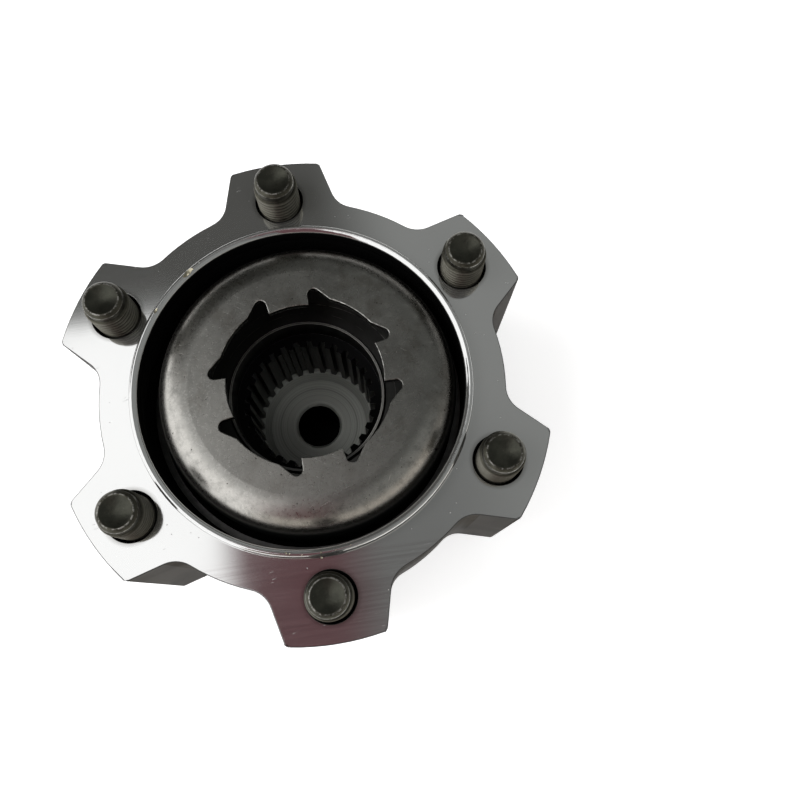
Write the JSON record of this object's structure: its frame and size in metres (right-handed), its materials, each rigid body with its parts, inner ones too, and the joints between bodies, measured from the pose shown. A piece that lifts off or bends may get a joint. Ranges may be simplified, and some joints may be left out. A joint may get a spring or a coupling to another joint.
{
  "type": "automatic locking hub",
  "caption": "Automatic locking hub for a 4x4 front wheel: lobed aluminium body with through bolts, keyed brake cup, splined drive hub and a cam that slides a locking gear.",
  "frame": {"origin": "on the hub's axis, in the flat face that bolts to the wheel hub", "axes": "+Z along the axis out of the mounting face, towards the axle; +X between two lobes; the front cap is at -Z"},
  "size_m": [0.1048, 0.1112, 0.0718],
  "materials": {
    "machined_aluminium": "machined and polished",
    "pressed_steel": "satin pressed steel",
    "phosphated_steel": "dark phosphated",
    "hardened_steel": "hardened, oiled",
    "spring_steel": "satin",
    "black_bolt_steel": "black phosphate",
    "bronze": "plain bearing bronze",
    "friction_lining": "moulded lining",
    "seal_rubber": "matte"
  },
  "bodies": {
    "housing": {"hub_body": "machined_aluminium", "cap": "machined_aluminium", "cup_ring": "spring_steel", "lock_ring": "hardened_steel", "lock_snap_ring": "spring_steel", "bearing_plate": "hardened_steel", "front_bush": "bronze", "thrust_washer": "bronze", "cap_o_ring": "seal_rubber", "flange_bolt_1": "black_bolt_steel", "flange_bolt_2": "black_bolt_steel", "flange_bolt_3": "black_bolt_steel", "flange_bolt_4": "black_bolt_steel", "flange_bolt_5": "black_bolt_steel", "flange_bolt_6": "black_bolt_steel", "spring_washer_1": "spring_steel", "spring_washer_2": "spring_steel", "spring_washer_3": "spring_steel", "spring_washer_4": "spring_steel", "spring_washer_5": "spring_steel", "spring_washer_6": "spring_steel", "cap_screw_1": "black_bolt_steel", "cap_screw_2": "black_bolt_steel", "cap_screw_3": "black_bolt_steel", "cap_screw_4": "black_bolt_steel", "cap_screw_5": "black_bolt_steel", "cap_screw_6": "black_bolt_steel"},
    "drive": {"drive_hub": "phosphated_steel", "cam_snap_ring": "spring_steel", "spring_seat": "hardened_steel", "seat_snap_ring": "spring_steel", "nose_snap_ring": "spring_steel", "return_spring": "spring_steel"},
    "cam": {"cam_ring": "hardened_steel", "drag_ring": "spring_steel", "drag_lining": "friction_lining"},
    "slide": {"slide_gear": "hardened_steel"},
    "cup": {"brake_cup": "pressed_steel"}
  },
  "joints": [
    {"name": "drive_spin", "type": "hinge", "parent": "housing", "child": "drive", "pos_m": [0, 0, 0], "axis": [0, 0, 1], "continuous": true},
    {"name": "cup_spin", "type": "hinge", "parent": "housing", "child": "cup", "pos_m": [0.00096, -0.00028, 0], "axis": [0, 0, 1], "continuous": true},
    {"name": "cam_turn", "type": "hinge", "parent": "drive", "child": "cam", "pos_m": [0, 0, 0], "axis": [0, 0, 1], "range_deg": [0, 35]},
    {"name": "gear_slide", "type": "slide", "parent": "drive", "child": "slide", "axis": [0, 0, -1], "range_m": [0, 0.007], "stiffness_N_per_m": 220, "springref_m": -0.01, "deforming": ["return_spring"]}
  ],
  "couplings": [
    {"joint": "gear_slide", "follows": "cam_turn", "m_per_rad": 0.011459}
  ]
}
